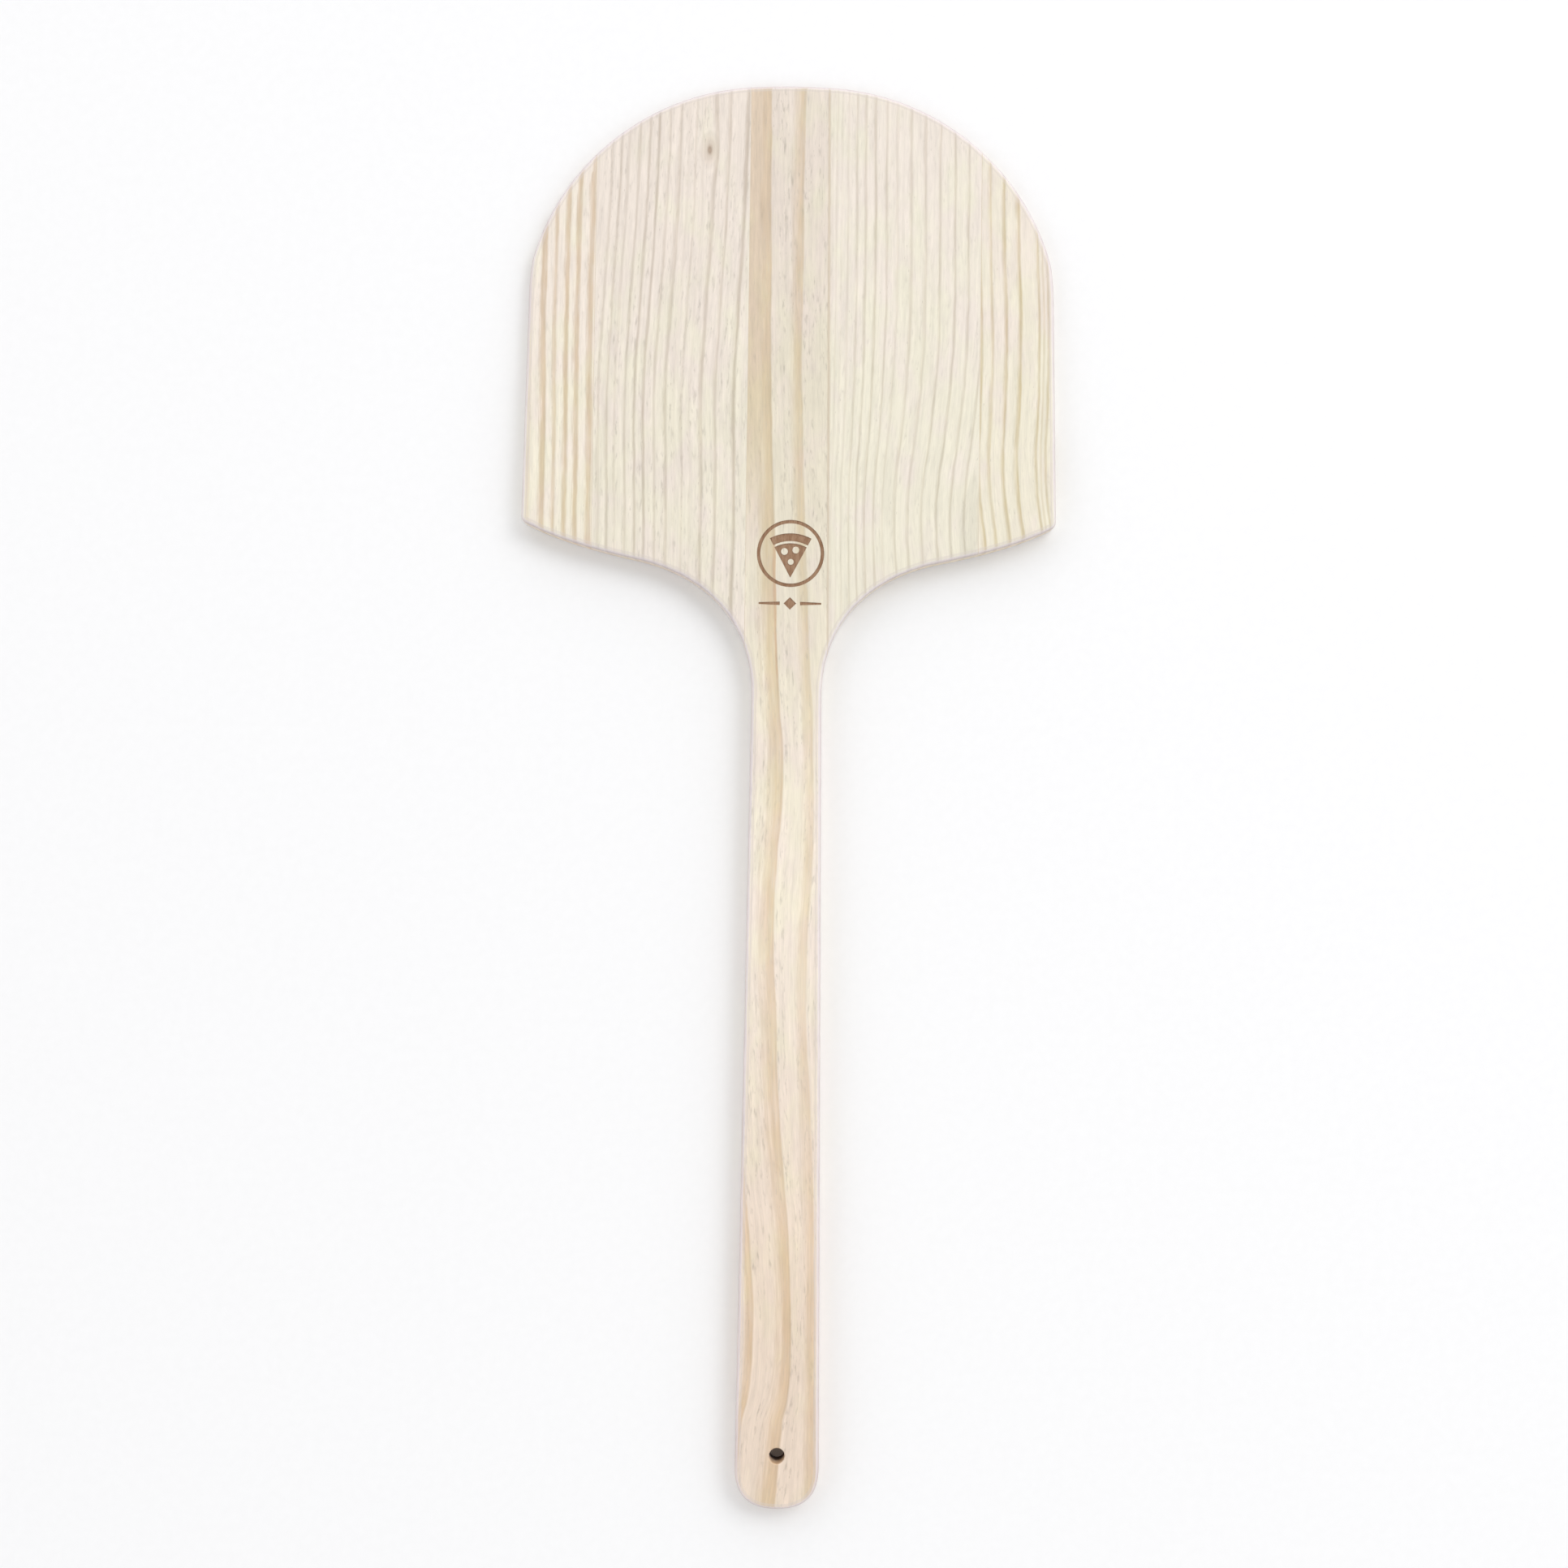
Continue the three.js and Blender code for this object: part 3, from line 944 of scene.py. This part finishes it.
def growth_rings(graph, wood):
    """The dark wood of the rings and the darkest line at the end of each, from 0 to 1."""
    rings = wood.traits["rings"]
    place = place_in_rings(graph, wood)
    lines = [(ring[0], i) for i, ring in enumerate(rings)]
    count = graph.curve(place, lines, straight=True)
    whole = graph.math("FLOOR", count)
    part = graph.math("FRACT", count)

    def of_ring(values):
        return graph.curve(whole, list(enumerate(values)), straight=True)

    spacing = of_ring([after[0] - ring[0] for ring, after in zip(rings, rings[1:])])
    depth = of_ring([ring[1] for ring in rings[1:]])
    width = of_ring([ring[2] for ring in rings[1:]])
    to_line = graph.times(graph.math("SUBTRACT", 1.0, part), spacing)

    fuzz = graph.plus(graph.times(wood.fibre, 1.6), graph.times(wood.streak, 1.4))
    edge = graph.ramp(
        graph.plus(to_line, graph.times(fuzz, 0.5)), 0.0, wood.traits["edge_width"])
    depth = graph.times(depth, ring_strength(graph, wood), edge)
    gradual = graph.plus(to_line, graph.times(fuzz, width, 0.35))
    late = graph.ramp(
        graph.math("DIVIDE", gradual, width), wood.traits["solid"], 1.0, 1.0, 0.0)
    late = graph.times(late, depth)
    if wood.name == "centre_stave":
        blade_band = graph.times(
            graph.ramp(wood.along, 130, 260), graph.ramp(place, -17, -14.5, 0.8, 0.0))
        late = graph.math("MAXIMUM", late, blade_band)
    line = graph.ramp(graph.plus(to_line, fuzz), 0.9, 2.6, 1.0, 0.0)
    return late, graph.times(line, depth)


def resin_marks(graph, wood):
    """Torn fibres and resin canals: grey dashes in the pale wood, or dots on end grain."""
    flecks = wood.traits["flecks"]
    columns = graph.noise(wood.straight, (3.4, 90, 3.4), wood.seed + 8, detail=1)
    columns = graph.ramp(columns, -0.1, 0.08)
    early = graph.math("SUBTRACT", 1.0, graph.times(wood.late, 0.6))
    torn = graph.plus(
        graph.noise(wood.straight, (1.5, 8, 1.5), wood.seed + 11, detail=2),
        graph.times(wood.fine_fibre, 0.3))
    smudge = graph.times(graph.ramp(torn, 0.0, 0.3), columns, early, flecks)
    canal = graph.dashes(wood.straight, (1.5, 6, 1.5), 0.2, 0.35 * flecks, wood.seed)
    return smudge, graph.times(canal, columns, early)


def ring_colour(graph, wood):
    """Pale wood and dark rings."""
    traits = wood.traits
    body = graph.mix(wood.late, srgb(*traits["pale"]), srgb(*traits["late"]))
    body = graph.mix(graph.times(wood.line, traits["line"]), body, graph.scaled(body, 0.8))
    if wood.name == "centre_stave":
        reddened = graph.times(
            wood.line, graph.curve(wood.along, CENTRE_LINE_REDNESS),
            graph.ramp(wood.across, 0, 3, 1.0, 0.0))
        body = graph.mix(reddened, body, RED_LINE)
    return body


def darken_wedge(graph, wood, body):
    """A slanting patch where one growth ring comes up to the surface at a shallow angle."""
    below_top = graph.plus(wood.along, -WEDGE_TOP.y)
    leaning = graph.plus(graph.times(below_top, WEDGE_LEAN), WEDGE_TOP.x)
    left = graph.math("SMOOTH_MAX", leaning, WEDGE_LEFT, 2.0)
    inside = graph.times(
        graph.ramp(graph.math("SUBTRACT", wood.across, left), -0.8, 0.8),
        graph.ramp(wood.across, WEDGE_RIGHT - 0.8, WEDGE_RIGHT + 0.8, 1.0, 0.0),
        graph.ramp(wood.along, WEDGE_TOP.y - 10, WEDGE_TOP.y, 1.0, 0.0))
    return graph.scaled(body, graph.math("SUBTRACT", 1.0, graph.times(inside, WEDGE_DARKNESS)))


def tint(graph, wood, body):
    """Pinker and greener patches: more pink at the ends and on the left of the board."""
    leftwards = graph.ramp(wood.across, -60, 0, 0.09, 0.0)
    patches = graph.noise(wood.place, (14, 32, 14), wood.seed + 9)
    rosy = graph.plus(patches, graph.curve(wood.along, ROSINESS), leftwards)
    tints = graph.mix(graph.ramp(rosy, -0.2, 0.2), GREENER, PINKER)
    return graph.mix(1.0, body, tints, "MULTIPLY")


def shade(graph, wood, body):
    """Lighter and darker streaks, and the middle stave's changes along its length."""
    streaks = graph.plus(
        graph.times(wood.streak, 0.26), graph.times(wood.fibre, 0.22),
        graph.times(wood.fine_fibre, 0.15), graph.times(wood.mottle, 0.08))
    amount = graph.plus(0.987, graph.times(streaks, wood.traits["streaks"]))
    if wood.name == "centre_stave":
        amount = graph.times(amount, graph.curve(wood.along, CENTRE_SHADE))
        warmth = graph.curve(wood.along, CENTRE_WARMTH)
        body = graph.mix(warmth, body, graph.mix(1.0, body, WARMER, "MULTIPLY"))
    return graph.scaled(body, amount)


def stain_beside_joint(graph, wood, body):
    """Glue that has soaked into the wood on both sides of the right inner joint."""
    at_tip, at_end = JOINTS["right_inner_glue_line"]
    lean = (at_tip - at_end) / LENGTH
    joint = graph.plus(graph.times(wood.along, lean), (at_tip + at_end) / 2)
    away = graph.math("ABSOLUTE", graph.math("SUBTRACT", wood.across, joint))
    soaked_in = graph.ramp(graph.plus(away, wood.fibre), 0.3, 1.3, 0.6, 0.0)
    return graph.mix(soaked_in, body, GLUE_STAIN)


def darken_end_grain(graph, wood, body):
    """End grain soaks up more light and shows pores."""
    soaked = graph.mix(1.0, body, SOAKED, "MULTIPLY")
    soaked = graph.scaled(soaked, graph.plus(1.0, graph.times(wood.pores, 0.25)))
    return graph.mix(wood.end_grain, body, soaked)


def paint_rim_light_and_shade(graph, wood, body):
    """Painted light on the rounded rim: a pale, cool painted highlight near the outer edge,
    between a faint painted shade line where the rounding starts and a darker painted shade line
    at the outer edge.
    """
    rim = graph.add("ShaderNodeAttribute", attribute_name="from_rim").outputs["Fac"]
    rim = graph.plus(rim, wood.fibre, graph.times(wood.mottle, 0.8))
    # Painted shade: a faint darker line where the flat top turns into the rounding
    crease_shade = graph.times(graph.ramp(rim, 2.2, 3.0), graph.ramp(rim, 3.1, 4.1, 1.0, 0.0))
    body = graph.mix(graph.times(crease_shade, 0.5), body, CREASE_SHADE)
    # Painted highlight: the outer part of the rounded rim made paler and cooler, faint on the
    # upright walls
    sanded = graph.times(
        graph.ramp(wood.flatness, 0.05, 0.6, 0.12, 0.64), graph.ramp(rim, 1.4, 2.6, 1.0, 0.0))
    body = graph.mix(sanded, body, RIM_HIGHLIGHT)
    # Painted shade: a darker greyish line along the outer edge of the rim, not on the upright
    # walls
    outermost_shade = graph.times(
        graph.ramp(wood.flatness, 0.1, 0.4), graph.ramp(rim, 0.3, 1.3, 0.5, 0.0))
    return graph.mix(outermost_shade, body, OUTERMOST_RIM_SHADE)


def surface_height(graph, wood):
    """Dark wood stands a little proud of the softer pale wood, and canals are open."""
    return graph.plus(
        graph.times(wood.late, 0.03), graph.times(wood.fibre, 0.05),
        graph.times(wood.fine_fibre, 0.03), graph.times(wood.smudge, -0.015),
        graph.times(wood.canal, -0.03), graph.times(wood.end_grain, wood.pores, 0.05))


def add_knot(graph, wood, body, height):
    """A small knot with fine rings of its own, in a darker halo."""
    core = knot_distance(graph, graph.plus(wood.across, wood.wave), wood.along, KNOT_CORE)
    uneven = graph.plus(core, wood.mottle)
    swirl = graph.times(
        graph.math("SINE", graph.times(uneven, 3.4)), graph.ramp(core, 1.2, 6.0, 0.045, 0.0))
    body = graph.scaled(body, graph.plus(1.0, swirl))
    body = graph.mix(graph.ramp(uneven, 0.8, 4.2, 0.6, 0.0), body, KNOT_HALO)
    growth = graph.math("SINE", graph.times(core, 9.0))
    knot_wood = graph.scaled(KNOT_WOOD, graph.plus(1.0, graph.times(growth, 0.1)))
    inside = graph.ramp(graph.plus(core, graph.times(wood.mottle, 0.8)), 0.2, 1.3, 0.85, 0.0)
    return graph.mix(inside, body, knot_wood), graph.plus(height, graph.times(inside, 0.08))


def paint_hole_shade(graph, wood, body):
    """Painted shade: the lower half of the hanging hole's wall is darkened, so that the hole
    looks dark from above.
    """
    radius = graph.length(wood.across, graph.plus(wood.along, -HOLE_Y))
    inside = graph.ramp(radius, HOLE_RADIUS + 0.1, HOLE_RADIUS + 0.7, 1.0, 0.0)
    # Painted shade: full at the bottom of the hole, gone above 10 mm
    shaded_depth = graph.ramp(wood.up, 4, 10, 1.0, 0.0)
    return graph.mix(graph.times(inside, shaded_depth), body, HOLE_SHADE)


def wood_material(name):
    """Solid softwood: growth rings in depth, fibres, resin canals, colour drift, end grain."""
    graph = Graph(bpy.data.materials.new(name + "_softwood"))
    wood = Wood(graph, name)
    body = ring_colour(graph, wood)
    if name == "right_inner_stave":
        body = darken_wedge(graph, wood, body)
    body = tint(graph, wood, body)
    body = graph.mix(graph.times(wood.smudge, 0.46), body, TORN_FIBRE)
    body = graph.mix(graph.times(wood.canal, 0.22), body, RESIN_CANAL)
    body = shade(graph, wood, body)
    if name in ("centre_stave", "right_inner_stave"):
        body = stain_beside_joint(graph, wood, body)
    body = darken_end_grain(graph, wood, body)
    # Painted highlight and painted shade on the rounded rim
    body = paint_rim_light_and_shade(graph, wood, body)

    height = surface_height(graph, wood)
    roughness = graph.plus(
        0.58, graph.times(wood.fibre, 0.12), graph.times(wood.late, -0.1),
        graph.times(wood.end_grain, 0.12))
    if name == "left_inner_stave":
        body, height = add_knot(graph, wood, body, height)
    if name == "centre_stave":
        # Painted shade in the hanging hole
        body = paint_hole_shade(graph, wood, body)
    return graph.finish(body, roughness, height, sheen=0.12)


def burnt_material():
    """Laser-burnt wood: charred brown, paler where the burn caught hard grain."""
    graph = Graph(bpy.data.materials.new("burnt_wood"))
    place = graph.place()
    streak = graph.noise(place, (0.5, 9, 0.5), 71, detail=3, roughness=0.6)
    mottle = graph.noise(place, (2.5, 6, 2.5), 73, detail=3)
    share = graph.ramp(graph.plus(streak, graph.times(mottle, 0.8)), -0.25, 0.35)
    char = graph.mix(share, srgb(142, 106, 77), srgb(174, 141, 113))
    soot = graph.dashes(place, (0.9, 2.2, 0.9), 0.28, 0.4, 75)
    char = graph.mix(graph.times(soot, 0.4), char, srgb(92, 64, 46))
    height = graph.plus(graph.times(streak, 0.06), graph.times(soot, -0.05))
    roughness = graph.plus(0.78, graph.times(mottle, 0.15))
    return graph.finish(char, roughness, height)


def glue_material():
    """Cured wood glue sanded flush: thin amber-brown line, dry and pale in places."""
    graph = Graph(bpy.data.materials.new("cured_glue"))
    place = graph.place()
    runs = graph.noise(place, (4, 40, 4), 81, detail=3, roughness=0.6)
    specks = graph.noise(place, (0.5, 1.6, 0.5), 83, detail=2)
    share = graph.ramp(graph.plus(runs, graph.times(specks, 0.4)), -0.3, 0.3)
    colour = graph.mix(share, srgb(208, 190, 164), srgb(224, 210, 188))
    height = graph.plus(graph.times(specks, 0.02), graph.times(runs, 0.02))
    roughness = graph.plus(0.42, graph.times(specks, 0.2))
    return graph.finish(colour, roughness, height)


# ---------------------------------------- the peel

def put_in_place(piece, node):
    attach(piece, "root")
    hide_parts(node)


def build_peel():
    board = board_mesh()
    joints = list(JOINTS.values())
    burnt = burnt_material()
    glue = glue_material()

    for i, name in enumerate(STAVES):
        left = shifted(joints[i - 1], GLUE_THICKNESS / 2) if i > 0 else None
        right = shifted(joints[i], -GLUE_THICKNESS / 2) if i < len(joints) else None
        piece = slice_of_board(name + "_fine", board, left, right)
        wood = wood_material(name)
        piece.data.materials.append(wood)
        if name == "centre_stave":
            subtract(piece, hole_cutter(wood))
            subtract(piece, emblem_cutter(burnt))
        soften_shading(piece)
        put_in_place(piece, name)

    for name, joint in JOINTS.items():
        left = shifted(joint, -GLUE_THICKNESS / 2)
        right = shifted(joint, GLUE_THICKNESS / 2)
        piece = slice_of_board(name + "_fine", board, left, right)
        piece.data.materials.append(glue)
        soften_shading(piece)
        put_in_place(piece, name)


# ---------------------------------------- studio

# The camera looks straight down from CAMERA_HEIGHT above the level where it sees VIEW_WIDTH
CAMERA_HEIGHT = 1.4
VIEW_WIDTH = 1.0054
VIEWED_LEVEL = 0.012
CAMERA_CENTRE = Vector((-0.0008, 0.0070))
CAMERA_TURN = math.radians(0.724)
SENSOR_WIDTH = 36

# Strength of the light from each height, from the horizon to straight overhead, and how much
# stronger it is from the blade's end than from the handle's
LIGHT_BY_HEIGHT = [
    (0, 0.9), (0.1, 1.0), (0.3, 1.3), (0.6, 1.3), (0.78, 0.79), (0.95, 0.2), (1, 0.2),
]
LIGHT_TILT = 0.25
KEY_LIGHT_PLACE = Vector((3, 3, 4.4))
KEY_LIGHT_SIZE = 3.2
KEY_LIGHT_POWER = 90

FLOOR_HALF_WIDTH = 20
FLOOR_LEVEL = -0.0002


def floor_material():
    graph = Graph(bpy.data.materials.new("studio_floor"))
    speckle = graph.noise(graph.place(), (6, 6, 6), 91, detail=3)
    share = graph.ramp(speckle, -0.3, 0.3)
    colour = graph.mix(share, srgb(249, 249, 249), srgb(251, 251, 251))
    shader = graph.tree.nodes["Principled BSDF"]
    shader.inputs["Specular IOR Level"].default_value = 0
    return graph.finish(colour, 1.0, graph.times(speckle, 0.02))


def add_floor():
    signs = ((-1, -1), (1, -1), (1, 1), (-1, 1))
    corners = [(x * FLOOR_HALF_WIDTH, y * FLOOR_HALF_WIDTH, FLOOR_LEVEL) for x, y in signs]
    mesh = bpy.data.meshes.new("floor")
    mesh.from_pydata(corners, [], [(0, 1, 2, 3)])
    mesh.materials.append(floor_material())
    new_object("floor", mesh)


def add_key_light():
    """A large soft light above the top right, out of the camera's sight."""
    light = bpy.data.lights.new("key", "AREA")
    light.shape = "SQUARE"
    light.size = KEY_LIGHT_SIZE
    light.energy = KEY_LIGHT_POWER
    holder = new_object("key", light)
    holder.location = KEY_LIGHT_PLACE
    holder.rotation_euler = (-KEY_LIGHT_PLACE).to_track_quat("-Z", "Y").to_euler()
    holder.visible_camera = False


def add_surrounding_light():
    """Soft light from all round, dimmer straight overhead."""
    world = bpy.data.worlds.new("studio")
    graph = Graph(world)
    background = graph.tree.nodes["Background"]
    background.inputs["Color"].default_value = (0.99, 0.99, 1.0, 1.0)
    direction = graph.add("ShaderNodeSeparateXYZ")
    graph.feed(direction.inputs[0], graph.add("ShaderNodeTexCoord").outputs["Generated"])
    lengthwise, up = direction.outputs[1:]
    tilt = graph.plus(graph.times(lengthwise, LIGHT_TILT), 1.0)
    strength = graph.times(graph.curve(up, LIGHT_BY_HEIGHT), tilt)
    graph.feed(background.inputs["Strength"], strength)
    bpy.context.scene.world = world


def add_camera():
    camera = bpy.data.cameras.new("camera")
    camera.sensor_width = SENSOR_WIDTH
    camera.lens = SENSOR_WIDTH * CAMERA_HEIGHT / VIEW_WIDTH
    camera.clip_end = 50
    holder = new_object("camera", camera)
    holder.location = (CAMERA_CENTRE.x, CAMERA_CENTRE.y, VIEWED_LEVEL + CAMERA_HEIGHT)
    holder.rotation_euler = (0, 0, CAMERA_TURN)
    bpy.context.scene.camera = holder


add_camera()
build_peel()
add_floor()
add_surrounding_light()
add_key_light()
bpy.context.scene.view_settings.view_transform = "Standard"
